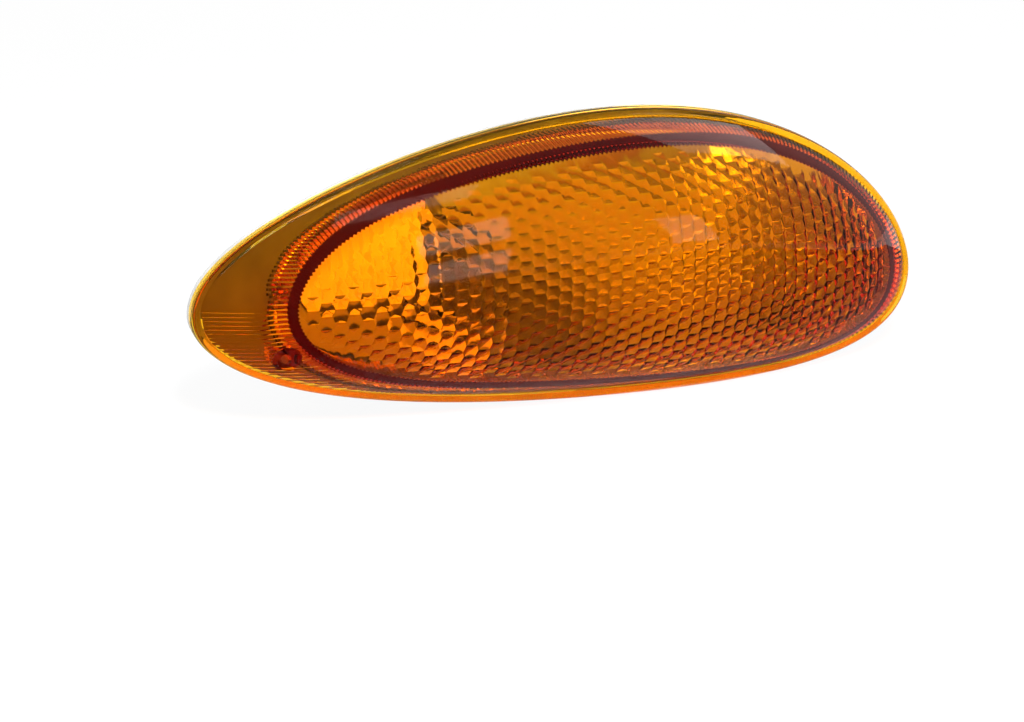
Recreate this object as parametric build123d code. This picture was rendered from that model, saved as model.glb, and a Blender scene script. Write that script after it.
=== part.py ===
"""Teardrop indicator lamp for a motorcycle fairing: amber lens, lamp housing, reflector, bulb and holder.

Depths run rearwards along +Y from the front face of the lens rim, X is along the lamp and Z is up.
The finished pieces are moved so that the origin lies between the two fixing inserts, on their end plane.
"""
from build123d import *
import math
import os

# Lens outline and dome, in millimetres
LENS_LENGTH = 180.0
LENS_HALF_HEIGHT = 33.8
TAIL_TIP_X = -90.0
CENTRE_HEIGHTS = (-3.7, -1.2, -2.1, -13.8)  # height of the centre line at even steps from tail to nose
RIM_EGG = (0.385, 0.472)                    # fullness of the outline towards the nose
WINDOW_EGG = (-0.92, 1.43)                  # the same for the window, blunter at the tail
RIM_WIDTH = 2.0
RIM_THICKNESS = 3.0
DOME_RISE = 21.0
DOME_FULLNESS = 0.94
SKIN = 2.6
# Sealing wall behind the lens, with its flutes
WALL = 2.2
WINDOW_TAIL_INSET = 19.5
WINDOW_NOSE_INSET = 7.5
WINDOW_SIDE_INSET = 5.5
FLUTE_PITCH = 1.1
FLUTE_DEPTH = 0.45
# Pillow optics on the back of the window
PILLOW_PITCH = 3.0
PILLOW_RISE = 0.3
PILLOW_SQUARENESS = 0.5                     # 0 gives even hexagons, 1 gives bricks
PILLOW_BORDER = 1.2
# Screw boss of the lens, beside the sealing wall
BOSS_DROP = 11.2                            # below the centre line
BOSS_STANDOFF = 4.75                        # of its axis from the wall
BOSS_RADIUS = 3.0
BOSS_HOLE_RADIUS = 1.3
BOSS_HOLE_DEPTH = 5.0
# Seals
SEAL_THICKNESS = 1.0
SEAL_OVERHANG = 0.6
GASKET_THICKNESS = 2.0
GASKET_INSET = 0.3
# Housing
FLANGE_THICKNESS = 2.5
FLANGE_GAP = 0.6
LEDGE = 1.8
BOWL_WALL = 2.0
BOWL_DEPTH = 20.0
FLOOR_TAIL_INSET = 24.0
FLOOR_NOSE_INSET = 20.0
FLOOR_SIDE_INSET = 14.0
# Fixing bosses and their threaded inserts
FIXING_SPACING = 48.0
FIXING_X = 34.0
FIXING_Z = -3.0
FIXING_BOSS_RADIUS = 5.6
FIXING_BOSS_HEIGHT = 8.0
INSERT_RADIUS = 3.4
INSERT_BORE_RADIUS = 2.1
INSERT_LENGTH = 9.0
INSERT_GROOVE_WIDTH = 1.4
INSERT_GROOVE_DEPTH = 0.5
# Reflector
REFLECTOR_WALL = 1.2
REFLECTOR_GAP = 0.4
REFLECTOR_FLOOR_GAP = 1.0
BULB_GAP = 1.0
# Bright step plate beside the bulb, folded at its edges
STEP_Y = 5.5
STEP_LOW_Z = -7.0
STEP_INSET = 7.8
STEP_FOLD = 5.0
STEP_LEG = 8.0
# Bulb
BULB_X = -22.0
BULB_Z = -7.0
BULB_TIP_Y = 1.0
GLASS_RADIUS = 9.2
GLASS_WALL = 0.8
GLASS_NECK_RADIUS = 6.6
GLASS_LENGTH = 23.0
CAP_RADIUS = 7.6
CAP_WALL = 0.6
CAP_LENGTH = 13.5
CAP_OVERLAP = 2.0
CAP_PIN_RADIUS = 1.0
CAP_PIN_REACH = 0.8
CAP_PIN_PLACE = 6.5
INSULATOR_LENGTH = 1.5
INSULATOR_TIP_RADIUS = 4.0
CONTACT_RADIUS = 2.8
CONTACT_LENGTH = 1.0
CONTACT_TAPER = 0.7
STEM_RADIUS = 2.2
STEM_LENGTH = 8.0
SUPPORT_RADIUS = 0.35
SUPPORT_SPREAD = 3.2
FILAMENT_RADIUS = 0.5
# Bulb holder
SLEEVE_GAP = 0.2
SLEEVE_WALL = 0.5
SLEEVE_SLOT = 2.4
SLEEVE_HOOK = 3.2
STRIP_THICKNESS = 0.4
STRIP_WIDTH = 4.0
STRIP_LENGTH = 9.0
STRIP_RISE = 2.0
CARRIER_THICKNESS = 1.5
HOLDER_WALL = 2.1
HOLDER_END = 2.5
HOLDER_FLANGE_THICKNESS = 2.5
HOLDER_GRIP_WIDTH = 3.0
HOLDER_GRIP_REACH = 2.2
HOLDER_GAP = 0.4
NECK_WALL = 2.0
NECK_LENGTH = 6.0
HOLDER_SEAL_THICKNESS = 1.0
TERMINAL_WIDTH = 6.3
TERMINAL_THICKNESS = 0.8
TERMINAL_REACH = 7.0
TERMINAL_SPACING = 7.0
TERMINAL_GAP = 0.1
# Screw that holds the tail of the lens
SCREW_RADIUS = 1.25
SCREW_GAP = 0.2
SCREW_HEAD_RADIUS = 2.8
SCREW_HEAD_HEIGHT = 2.0
SCREW_LENGTH = 7.5
SCREW_SLOT = 0.9
# Drawing accuracy
OUTLINE_POINTS = 36
TURN_STEP = 0.01
DOME_STEPS = (30, 18)
DOME_MARGIN = 4.0
DOME_ACCURACY = 0.005
OUTLINE_STEPS = 1440
PEAK_STEPS = 400
SLOPE_STEP = 1.0
FACE_TOLERANCE = 0.0001

NOSE_TIP_X = TAIL_TIP_X + LENS_LENGTH
REARWARDS = Vector(0, 1, 0)


def centre_height(x):
    """Height of the lamp's centre line, a cubic through CENTRE_HEIGHTS."""
    share = (x - TAIL_TIP_X) / LENS_LENGTH
    last = len(CENTRE_HEIGHTS) - 1
    total = 0.0
    for i, height in enumerate(CENTRE_HEIGHTS):
        weight = height
        for j in range(last + 1):
            if j != i:
                weight *= (share * last - j) / (i - j)
        total += weight
    return total


class Egg:
    """Closed teardrop about the centre line, between two ends and up to a half height."""

    def __init__(self, tail, nose, half, fullness):
        self.tail = tail
        self.nose = nose
        self.half = half
        self.fullness = fullness
        self.peak = max(self.profile(i / PEAK_STEPS) for i in range(PEAK_STEPS + 1))

    def profile(self, share):
        """Square of the half height at a share of the length, not yet scaled."""
        first, second = self.fullness
        return share * (1 - share) * (1 + first * share + second * share * share)

    def half_squared(self, x):
        """Square of the half height at x, negative beyond the ends."""
        share = (x - self.tail) / (self.nose - self.tail)
        return self.half ** 2 * self.profile(share) / self.peak

    def holds(self, x, z):
        """Whether the outline holds a point."""
        return self.half_squared(x) > (z - centre_height(x)) ** 2

    def inset(self, tail, nose, side):
        """Smaller outline of the same form."""
        return Egg(self.tail + tail, self.nose - nose, self.half - side, self.fullness)

    def at(self, angle):
        """Point of the outline, going over the top from the tail at angle 0."""
        x = (self.tail + self.nose) / 2 - (self.nose - self.tail) / 2 * math.cos(angle)
        half = math.sqrt(max(self.half_squared(x), 0.0))
        return x, centre_height(x) + (half if angle <= math.pi else -half)

    def trace(self, steps=OUTLINE_STEPS):
        """Points round the outline, closest at the two ends."""
        return [self.at(2 * math.pi * i / steps) for i in range(steps)]

    def smooth_points(self, count, inset=0.0):
        """Points for a smooth curve, moved inwards by inset."""
        found = []
        for i in range(count):
            angle = 2 * math.pi * i / count
            before = self.at((angle - TURN_STEP) % (2 * math.pi))
            after = self.at(angle + TURN_STEP)
            x, z = self.at(angle)
            span = math.dist(before, after)
            along_x = (after[0] - before[0]) / span
            along_z = (after[1] - before[1]) / span
            found.append((x + along_z * inset, z - along_x * inset))
        return found

    def length(self):
        """Length of the outline."""
        trace = self.trace()
        return sum(math.dist(p, q) for p, q in zip(trace, trace[1:] + trace[:1]))

    def points(self, count, inset=0.0, ripple=0.0):
        """Evenly spaced points, moved inwards by inset, and every second one by ripple more."""
        trace = self.trace()
        step = self.length() / count
        found = []
        walked = 0.0
        for p, q in zip(trace, trace[1:] + trace[:1]):
            span = math.dist(p, q)
            while len(found) < count and len(found) * step <= walked + span:
                share = (len(found) * step - walked) / span
                move = inset + ripple * (len(found) % 2)
                dx = q[0] - p[0]
                dz = q[1] - p[1]
                found.append((p[0] + dx * share + dz / span * move, p[1] + dz * share - dx / span * move))
            walked += span
        return found


rim = Egg(TAIL_TIP_X, NOSE_TIP_X, LENS_HALF_HEIGHT, RIM_EGG)
dome = rim.inset(RIM_WIDTH, RIM_WIDTH, RIM_WIDTH)
window = Egg(
    TAIL_TIP_X + WINDOW_TAIL_INSET,
    NOSE_TIP_X - WINDOW_NOSE_INSET,
    LENS_HALF_HEIGHT - WINDOW_SIDE_INSET,
    WINDOW_EGG,
)
floor = window.inset(FLOOR_TAIL_INSET, FLOOR_NOSE_INSET, FLOOR_SIDE_INSET)

# Screw boss: its height, then the place where the window's outline has that height beside the tail
boss_wall = max(
    (point for point in window.trace() if point[0] < 0.0 and centre_height(point[0]) - point[1] <= BOSS_DROP),
    key=lambda point: centre_height(point[0]) - point[1],
)
boss_x = boss_wall[0] - BOSS_STANDOFF
boss_z = boss_wall[1]

# Depths of the seats, from the front of the rim rearwards
flange_front = RIM_THICKNESS + SEAL_THICKNESS
flange_back = flange_front + FLANGE_THICKNESS
floor_back = flange_back + BOWL_DEPTH
floor_front = floor_back - BOWL_WALL
fixing_end = floor_back + FIXING_BOSS_HEIGHT
neck_end = floor_back + NECK_LENGTH
cap_front = BULB_TIP_Y + GLASS_LENGTH - CAP_OVERLAP
cap_end = cap_front + CAP_LENGTH
contact_front = cap_end + INSULATOR_LENGTH
contact_end = contact_front + CONTACT_LENGTH
carrier_front = contact_end + STRIP_RISE
carrier_back = carrier_front + CARRIER_THICKNESS
holder_end = carrier_back + HOLDER_END
sleeve_inner = CAP_RADIUS + SLEEVE_GAP
sleeve_outer = sleeve_inner + SLEEVE_WALL
holder_inner = sleeve_outer + SLEEVE_GAP
holder_outer = holder_inner + HOLDER_WALL
neck_inner = holder_outer + HOLDER_GAP
neck_outer = neck_inner + NECK_WALL
pin_y = cap_front + CAP_PIN_PLACE
stem_top = BULB_TIP_Y + GLASS_LENGTH - STEM_LENGTH
holder_seat = neck_end + HOLDER_SEAL_THICKNESS
gasket_back = RIM_THICKNESS + GASKET_THICKNESS
reflector_back = floor_front - REFLECTOR_FLOOR_GAP
reflector_front = reflector_back - REFLECTOR_WALL
fixing_places = (FIXING_X - FIXING_SPACING / 2, FIXING_X + FIXING_SPACING / 2)

dome_softness = (DOME_FULLNESS * dome.half) ** 2
dome_scale = DOME_RISE / (1 - math.exp(-dome.half ** 2 / dome_softness))


def rise(x, z):
    """Height of the dome in front of the rim's face."""
    inside = dome.half_squared(x) - (z - centre_height(x)) ** 2
    return dome_scale * (1 - math.exp(-inside / dome_softness))


def behind_dome(depth):
    """Everything behind the dome, moved rearwards by depth."""
    steps_x, steps_z = DOME_STEPS
    low = min(z for _, z in rim.trace()) - DOME_MARGIN
    high = max(z for _, z in rim.trace()) + DOME_MARGIN
    grid = []
    for i in range(steps_x + 1):
        x = rim.tail - DOME_MARGIN + (rim.nose - rim.tail + 2 * DOME_MARGIN) * i / steps_x
        heights = [low + (high - low) * j / steps_z for j in range(steps_z + 1)]
        grid.append([Vector(x, depth - rise(x, z), z) for z in heights])
    skin = Face.make_surface_from_array_of_points(grid, tol=DOME_ACCURACY)
    return Solid.extrude(skin, REARWARDS * (4 * DOME_RISE))


def curve(points, y):
    """Closed smooth wire through points at one depth."""
    return Wire([Edge.make_spline([Vector(x, y, z) for x, z in points], periodic=True)])


def polygon(points, y):
    """Closed wire of straight edges at one depth."""
    return Wire.make_polygon([Vector(x, y, z) for x, z in points], close=True)


def outline(egg, y, inset=0.0):
    """Smooth wire of a teardrop at one depth."""
    return curve(egg.smooth_points(OUTLINE_POINTS, inset), y)


def slab(outer, inner, front, back):
    """Prism between two depths, with the outline outer and any openings inner."""
    return Solid.extrude(Face(outer(front), [wire(front) for wire in inner]), REARWARDS * (back - front))


def ring(egg, outer_inset, inner_inset, front, back):
    """Flat ring between two insets of one teardrop."""
    return slab(
        lambda y: outline(egg, y, outer_inset),
        [lambda y: outline(egg, y, inner_inset)],
        front,
        back,
    )


def rod(x, z, radius, front, back):
    """Round rod along Y."""
    return Solid.make_cylinder(radius, back - front, Plane((x, front, z), z_dir=(0, 1, 0)))


def turned(profile):
    """Solid of revolution about the bulb's axis, from radius and depth pairs."""
    points = [Vector(BULB_X + radius, depth, BULB_Z) for radius, depth in profile]
    face = Face(Wire.make_polygon(points, close=True))
    return Solid.revolve(face, 360, Axis((BULB_X, 0, BULB_Z), (0, 1, 0)))


def block(low, high):
    """Box between two corners."""
    size = [b - a for a, b in zip(low, high)]
    return Solid.make_box(*size, Plane(tuple(low)))


def flat(*corners):
    """Flat face through corner points."""
    return Face(Wire.make_polygon([Vector(*corner) for corner in corners], close=True))


# Pillow optics

def back_point(x, z, deeper=0.0):
    """Point on the back of the lens skin, or deeper behind it."""
    return x, SKIN - rise(x, z) + deeper, z


def march(start, slope, step, reach):
    """Places a surface step apart, up to and past a reach, where slope gives the surface's slope."""
    places = [start]
    while abs(places[-1] - start) < reach:
        places.append(places[-1] + step / math.hypot(1.0, slope(places[-1])))
    return places


def slope_along(x):
    """Slope of the dome along its centre line."""
    near = x - SLOPE_STEP / 2
    far = x + SLOPE_STEP / 2
    return (rise(far, centre_height(far)) - rise(near, centre_height(near))) / SLOPE_STEP


def pillow_columns():
    """Pillow centres by column and row, with every second column half a pitch lower."""
    middle = (window.tail + window.nose) / 2
    reach = (window.nose - window.tail) / 2 + PILLOW_PITCH
    right = march(middle, slope_along, PILLOW_PITCH, reach)
    left = march(middle, slope_along, -PILLOW_PITCH, reach)
    columns = []
    for number, x in enumerate(left[:0:-1] + right):
        def slope_up(z, x=x):
            return (rise(x, z + SLOPE_STEP / 2) - rise(x, z - SLOPE_STEP / 2)) / SLOPE_STEP
        start = centre_height(x) - PILLOW_PITCH / 2 * (number % 2)
        up = march(start, slope_up, PILLOW_PITCH, LENS_HALF_HEIGHT)
        down = march(start, slope_up, -PILLOW_PITCH, LENS_HALF_HEIGHT)
        columns.append({row: (x, z) for row, z in enumerate(up)})
        columns[-1].update({-row: (x, z) for row, z in enumerate(down)})
    return columns


def pillow_corner(trio):
    """Corner where three pillows meet, two of them in one column."""
    mean_x = sum(x for x, _ in trio) / len(trio)
    mean_z = sum(z for _, z in trio) / len(trio)
    places = [x for x, _ in trio]
    mates = [z for x, z in trio if places.count(x) > 1]
    square_x = (min(places) + max(places)) / 2
    square_z = sum(mates) / len(mates)
    return mean_x + (square_x - mean_x) * PILLOW_SQUARENESS, mean_z + (square_z - mean_z) * PILLOW_SQUARENESS


def pillow_cells():
    """Six-cornered cells of the pillow pattern that fit inside the window, each with its centre."""
    columns = pillow_columns()
    limit = window.inset(*[WALL + PILLOW_BORDER] * 3)
    cells = []
    for number in range(1, len(columns) - 1):
        lower = -(number % 2)
        for row, centre in columns[number].items():
            neighbours = [
                (number, row + 1), (number + 1, row + 1 + lower), (number + 1, row + lower),
                (number, row - 1), (number - 1, row + lower), (number - 1, row + 1 + lower),
            ]
            if any(place not in columns[column] for column, place in neighbours):
                continue
            keys = [
                tuple(sorted([(number, row), neighbours[i], neighbours[(i + 1) % 6]])) for i in range(6)
            ]
            corners = [pillow_corner([columns[column][place] for column, place in key]) for key in keys]
            if all(limit.holds(*corner) for corner in corners):
                cells.append((centre, keys, corners))
    return cells


def border_loop(cells):
    """Corners round the outside of all the cells, in order."""
    places = {}
    following = {}
    for _, keys, corners in cells:
        places.update(zip(keys, corners))
        for start, end in zip(keys, keys[1:] + keys[:1]):
            if following.get((end, start)):
                del following[(end, start)]
            else:
                following[(start, end)] = True
    onward = dict(following.keys())
    loop = [next(iter(onward))]
    while onward[loop[-1]] != loop[0]:
        loop.append(onward[loop[-1]])
    return [places[key] for key in loop]


def stitched(outer, inner):
    """Triangles between two closed loops that run the same way round."""
    start = min(range(len(inner)), key=lambda i: math.dist(inner[i], outer[0]))
    inner = inner[start:] + inner[:start]
    i = j = 0
    triangles = []
    while i < len(outer) or j < len(inner):
        a = outer[i % len(outer)]
        b = inner[j % len(inner)]
        next_a = outer[(i + 1) % len(outer)]
        next_b = inner[(j + 1) % len(inner)]
        if j >= len(inner) or (i < len(outer) and math.dist(next_a, b) < math.dist(a, next_b)):
            triangles.append((a, b, next_a))
            i += 1
        else:
            triangles.append((a, b, next_b))
            j += 1
    return triangles


def pillow_floor(edge):
    """Faces of the window's back: pillows, and a plain border out to the edge of the wall."""
    cells = pillow_cells()
    faces = []
    for centre, _, corners in cells:
        apex = back_point(*centre, PILLOW_RISE)
        for p, q in zip(corners, corners[1:] + corners[:1]):
            faces.append(flat(back_point(*p), back_point(*q), apex))
    for triangle in stitched(edge, border_loop(cells)):
        faces.append(flat(*[back_point(*p) for p in triangle]))
    return faces


# Pieces

def make_lens():
    """Amber lens: domed skin with a rim, fluted sealing wall, screw boss and pillow optics."""
    blank = slab(lambda y: outline(rim, y), [], -2 * DOME_RISE, RIM_THICKNESS) & behind_dome(0.0)
    blank += slab(lambda y: outline(rim, y), [], 0.0, RIM_THICKNESS)
    flutes = 2 * round(window.length() / FLUTE_PITCH)
    fluted = window.points(flutes, ripple=FLUTE_DEPTH)
    pocket = slab(
        lambda y: outline(dome, y),
        [lambda y: polygon(fluted, y)],
        -2 * DOME_RISE,
        RIM_THICKNESS + SKIN,
    )
    boss_front = SKIN / 2 - rise(boss_x, boss_z)
    boss = rod(boss_x, boss_z, BOSS_RADIUS, boss_front, RIM_THICKNESS + 2 * SKIN)
    boss_hole = rod(boss_x, boss_z, BOSS_HOLE_RADIUS, RIM_THICKNESS - BOSS_HOLE_DEPTH, RIM_THICKNESS + SKIN)
    pocket = (pocket & behind_dome(SKIN)) - boss
    body = blank - pocket - boss_hole

    edge = window.points(round(window.length() / PILLOW_PITCH), WALL)
    back_faces = [face for face in body.faces() if abs(face.center().Y - RIM_THICKNESS) < FACE_TOLERANCE]
    plug = max(back_faces, key=lambda face: face.area)
    faces = [face for face in body.faces() if not face.is_same(plug)]
    faces.append(Face(plug.outer_wire(), plug.inner_wires() + [polygon(edge, RIM_THICKNESS)]))
    for p, q in zip(edge, edge[1:] + edge[:1]):
        seat = [(x, RIM_THICKNESS, z) for x, z in (p, q)]
        faces.append(flat(*seat, back_point(*q), back_point(*p)))
    faces += pillow_floor(edge)
    return Solid(Shell(faces))


def make_lens_seal():
    """Flat rubber seal between the lens wall and the housing flange."""
    return ring(window, -SEAL_OVERHANG, WALL, RIM_THICKNESS, flange_front)


def make_fairing_gasket():
    """Foam strip on the back of the rim, pressed on the fairing."""
    return ring(rim, GASKET_INSET, RIM_WIDTH, RIM_THICKNESS, gasket_back)


def bowl(egg_inset, front, floor_inset, back):
    """Tapering solid from the window outline to the floor outline."""
    return Solid.make_loft([outline(window, front, egg_inset), outline(floor, back, floor_inset)])


def make_housing():
    """Moulded housing: flange, tapering bowl, neck for the bulb holder and two fixing bosses."""
    body = slab(lambda y: outline(rim, y, RIM_WIDTH + FLANGE_GAP), [], flange_front, flange_back)
    body += slab(lambda y: outline(window, y, WALL - BOWL_WALL), [], flange_front, flange_back + BOWL_WALL)
    body += bowl(WALL + LEDGE - BOWL_WALL, flange_back, 0.0, floor_back)
    body += rod(BULB_X, BULB_Z, neck_outer, flange_back, neck_end)
    for x in fixing_places:
        body += rod(x, FIXING_Z, FIXING_BOSS_RADIUS, flange_back, fixing_end)
    body -= slab(lambda y: outline(window, y, WALL), [], RIM_THICKNESS, flange_back)
    body -= bowl(WALL + LEDGE, flange_back, BOWL_WALL, floor_front)
    body -= rod(BULB_X, BULB_Z, neck_inner, flange_back, neck_end + NECK_WALL)
    for x in fixing_places:
        body -= rod(x, FIXING_Z, INSERT_RADIUS, fixing_end - INSERT_LENGTH, fixing_end + INSERT_LENGTH)
    return body - rod(boss_x, boss_z, SCREW_RADIUS + SCREW_GAP, RIM_THICKNESS, floor_back)


def make_mounting_inserts():
    """Two brass inserts with a groove round the middle, one in each fixing boss."""
    groove_front = fixing_end - (INSERT_LENGTH + INSERT_GROOVE_WIDTH) / 2
    groove_back = groove_front + INSERT_GROOVE_WIDTH
    inserts = []
    for x in fixing_places:
        body = rod(x, FIXING_Z, INSERT_RADIUS, fixing_end - INSERT_LENGTH, fixing_end)
        core = rod(x, FIXING_Z, INSERT_RADIUS - INSERT_GROOVE_DEPTH, groove_front, groove_back)
        band = rod(x, FIXING_Z, INSERT_RADIUS + INSERT_GROOVE_DEPTH, groove_front, groove_back)
        deep = fixing_end - 2 * INSERT_LENGTH
        bore = rod(x, FIXING_Z, INSERT_BORE_RADIUS, deep, fixing_end + INSERT_LENGTH)
        inserts.append((body - (band - core) - bore).solid())
    return Compound(inserts)


def make_reflector():
    """Metallised bowl that hangs by its lip on the ledge inside the housing."""
    outer_inset = WALL + LEDGE + REFLECTOR_GAP
    inner_inset = outer_inset + REFLECTOR_WALL
    front = flange_back - REFLECTOR_WALL
    body = ring(window, WALL + REFLECTOR_GAP, inner_inset, front, flange_back)
    floor_inset = BOWL_WALL + REFLECTOR_GAP
    body += bowl(outer_inset, front, floor_inset, reflector_back)
    body -= bowl(inner_inset, front, floor_inset + REFLECTOR_WALL, reflector_front)
    return body - rod(BULB_X, BULB_Z, GLASS_RADIUS + BULB_GAP, flange_back, floor_back)


def make_reflector_step():
    """Bright plate beside the bulb, with a folded lower edge and a leg that stands on the reflector's floor."""
    right = BULB_X - GLASS_RADIUS - BULB_GAP
    plate_back = STEP_Y + REFLECTOR_WALL
    body = slab(lambda y: outline(window, y, STEP_INSET), [], STEP_Y, plate_back)
    body &= block((window.tail, STEP_Y, STEP_LOW_Z), (right, plate_back, LENS_HALF_HEIGHT))
    fold_left = window.tail + STEP_INSET + STEP_FOLD + STEP_LEG
    body += block((fold_left, STEP_Y, STEP_LOW_Z), (right, STEP_Y + STEP_FOLD, STEP_LOW_Z + REFLECTOR_WALL))
    leg_low = (right - REFLECTOR_WALL, STEP_Y, STEP_LOW_Z)
    return body + block(leg_low, (right, reflector_front, STEP_LOW_Z + STEP_LEG))


def make_bulb_glass():
    """Blown glass: a round bulb that narrows to a neck, open at the cap."""
    middle = BULB_TIP_Y + GLASS_RADIUS
    end = BULB_TIP_Y + GLASS_LENGTH
    axis = Plane((BULB_X, middle, BULB_Z))
    outside = axis * Sphere(GLASS_RADIUS) + rod(BULB_X, BULB_Z, GLASS_NECK_RADIUS, middle, end)
    inside = axis * Sphere(GLASS_RADIUS - GLASS_WALL)
    inside += rod(BULB_X, BULB_Z, GLASS_NECK_RADIUS - GLASS_WALL, middle, end + GLASS_WALL)
    return outside - inside


def make_bulb_stem():
    """Glass mount that closes the neck and carries the filament's supports."""
    end = BULB_TIP_Y + GLASS_LENGTH
    foot = GLASS_NECK_RADIUS - GLASS_WALL
    return turned([(0, stem_top), (STEM_RADIUS, stem_top), (STEM_RADIUS, end - foot), (foot, end), (0, end)])


def make_bulb_filament():
    """Filament between its two support wires."""
    middle = BULB_TIP_Y + GLASS_RADIUS
    low = BULB_X - SUPPORT_SPREAD / 2
    high = BULB_X + SUPPORT_SPREAD / 2
    body = Solid.make_cylinder(FILAMENT_RADIUS, high - low, Plane((low, middle, BULB_Z), z_dir=(1, 0, 0)))
    for x in (low, high):
        body += rod(x, BULB_Z, SUPPORT_RADIUS, middle, stem_top)
    return body


def make_bulb_cap():
    """Drawn brass cap with its two bayonet pins."""
    inner = CAP_RADIUS - CAP_WALL
    body = turned([
        (inner, cap_front), (CAP_RADIUS, cap_front), (CAP_RADIUS, cap_end),
        (INSULATOR_TIP_RADIUS, cap_end), (INSULATOR_TIP_RADIUS, cap_end - CAP_WALL),
        (inner, cap_end - CAP_WALL),
    ])
    for side in (-1, 1):
        root = Plane((BULB_X + side * (CAP_RADIUS - CAP_WALL), pin_y, BULB_Z), z_dir=(side, 0, 0))
        body += Solid.make_cylinder(CAP_PIN_RADIUS, CAP_WALL + CAP_PIN_REACH, root)
    return body


def make_bulb_insulator():
    """Black glass bead in the end of the cap."""
    root = cap_end - CAP_WALL
    return turned([
        (0, root), (INSULATOR_TIP_RADIUS, root), (INSULATOR_TIP_RADIUS, cap_end),
        (CAP_RADIUS - CAP_WALL, cap_end), (INSULATOR_TIP_RADIUS, contact_front), (0, contact_front),
    ])


def make_bulb_contact():
    """Solder contact on the bead."""
    edge = CONTACT_RADIUS * CONTACT_TAPER
    return turned([
        (0, contact_front), (CONTACT_RADIUS, contact_front), (edge, contact_end), (0, contact_end),
    ])


def make_socket_sleeve():
    """Rolled metal sleeve with a hooked slot for each bayonet pin."""
    body = turned([
        (sleeve_inner, floor_front), (sleeve_outer, floor_front),
        (sleeve_outer, carrier_front), (sleeve_inner, carrier_front),
    ])
    half = SLEEVE_SLOT / 2
    for side in (-1, 1):
        near = BULB_X + side * (sleeve_inner - SLEEVE_HOOK)
        far = BULB_X + side * (sleeve_outer + SLEEVE_WALL)
        entry = [BULB_Z + side * (SLEEVE_HOOK - half), BULB_Z + side * (SLEEVE_HOOK + half)]
        hook = [BULB_Z - side * half, BULB_Z + side * SLEEVE_HOOK]
        xs = sorted([near, far])
        body -= block((xs[0], floor_front - half, min(entry)), (xs[1], pin_y + half, max(entry)))
        body -= block((xs[0], pin_y - half, min(hook)), (xs[1], pin_y + half, max(hook)))
    return body


def make_contact_carrier():
    """Insulating disc in the end of the holder, under the sleeve and the contact strip."""
    return rod(BULB_X, BULB_Z, sleeve_outer, carrier_front, carrier_back)


def make_contact_strip():
    """Sprung strip folded over to meet the bulb's contact."""
    left = BULB_X - STRIP_LENGTH / 2
    right = BULB_X + STRIP_LENGTH / 2
    low = BULB_Z - STRIP_WIDTH / 2
    high = BULB_Z + STRIP_WIDTH / 2
    body = block((left, carrier_front - STRIP_THICKNESS, low), (right, carrier_front, high))
    body += block((right - STRIP_THICKNESS, contact_end, low), (right, carrier_front, high))
    tongue = (BULB_X - CONTACT_RADIUS, contact_end, low)
    return body + block(tongue, (right, contact_end + STRIP_THICKNESS, high))


def terminal(side, gap, front, back):
    """Flat blade beside the bulb's axis, larger by a gap all round."""
    x = BULB_X + side * TERMINAL_SPACING / 2
    half_x = TERMINAL_THICKNESS / 2 + gap
    half_z = TERMINAL_WIDTH / 2 + gap
    return block((x - half_x, front, BULB_Z - half_z), (x + half_x, back, BULB_Z + half_z))


def make_live_terminal():
    """Blade terminal of the contact strip."""
    return terminal(-1, 0.0, carrier_back, holder_end + TERMINAL_REACH)


def make_earth_terminal():
    """Blade terminal of the sleeve."""
    return terminal(1, 0.0, carrier_back, holder_end + TERMINAL_REACH)


def make_bulb_holder():
    """Plastic holder with a flange, a closed end, finger grips and slots for the terminals."""
    body = rod(BULB_X, BULB_Z, holder_outer, floor_front, holder_end)
    body += rod(BULB_X, BULB_Z, neck_outer, holder_seat, holder_seat + HOLDER_FLANGE_THICKNESS)
    grip = holder_outer + HOLDER_GRIP_REACH
    low = (BULB_X - grip, holder_seat, BULB_Z - HOLDER_GRIP_WIDTH / 2)
    high = (BULB_X + grip, holder_end, BULB_Z + HOLDER_GRIP_WIDTH / 2)
    body += block(low, high)
    body -= rod(BULB_X, BULB_Z, holder_inner, floor_front - HOLDER_WALL, carrier_back)
    for side in (-1, 1):
        body -= terminal(side, TERMINAL_GAP, carrier_front, holder_end + TERMINAL_REACH)
    return body


def make_holder_seal():
    """Rubber ring between the neck of the housing and the flange of the holder."""
    return turned([
        (neck_inner, neck_end), (neck_outer, neck_end), (neck_outer, holder_seat), (neck_inner, holder_seat),
    ])


def make_tail_screw():
    """Screw from behind the flange into the boss of the lens."""
    head_end = flange_back + SCREW_HEAD_HEIGHT
    body = rod(boss_x, boss_z, SCREW_RADIUS, flange_back - SCREW_LENGTH, flange_back)
    body += rod(boss_x, boss_z, SCREW_HEAD_RADIUS, flange_back, head_end)
    low = (boss_x - SCREW_HEAD_RADIUS, head_end - SCREW_HEAD_HEIGHT / 2, boss_z - SCREW_SLOT / 2)
    high = (boss_x + SCREW_HEAD_RADIUS, head_end + SCREW_HEAD_HEIGHT, boss_z + SCREW_SLOT / 2)
    return body - block(low, high)


PIECES = {
    "lens": make_lens,
    "lens_seal": make_lens_seal,
    "fairing_gasket": make_fairing_gasket,
    "housing": make_housing,
    "mounting_inserts": make_mounting_inserts,
    "reflector": make_reflector,
    "reflector_step": make_reflector_step,
    "bulb_glass": make_bulb_glass,
    "bulb_stem": make_bulb_stem,
    "bulb_filament": make_bulb_filament,
    "bulb_cap": make_bulb_cap,
    "bulb_insulator": make_bulb_insulator,
    "bulb_contact": make_bulb_contact,
    "bulb_holder": make_bulb_holder,
    "holder_seal": make_holder_seal,
    "socket_sleeve": make_socket_sleeve,
    "contact_carrier": make_contact_carrier,
    "contact_strip": make_contact_strip,
    "live_terminal": make_live_terminal,
    "earth_terminal": make_earth_terminal,
    "tail_screw": make_tail_screw,
}

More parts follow.
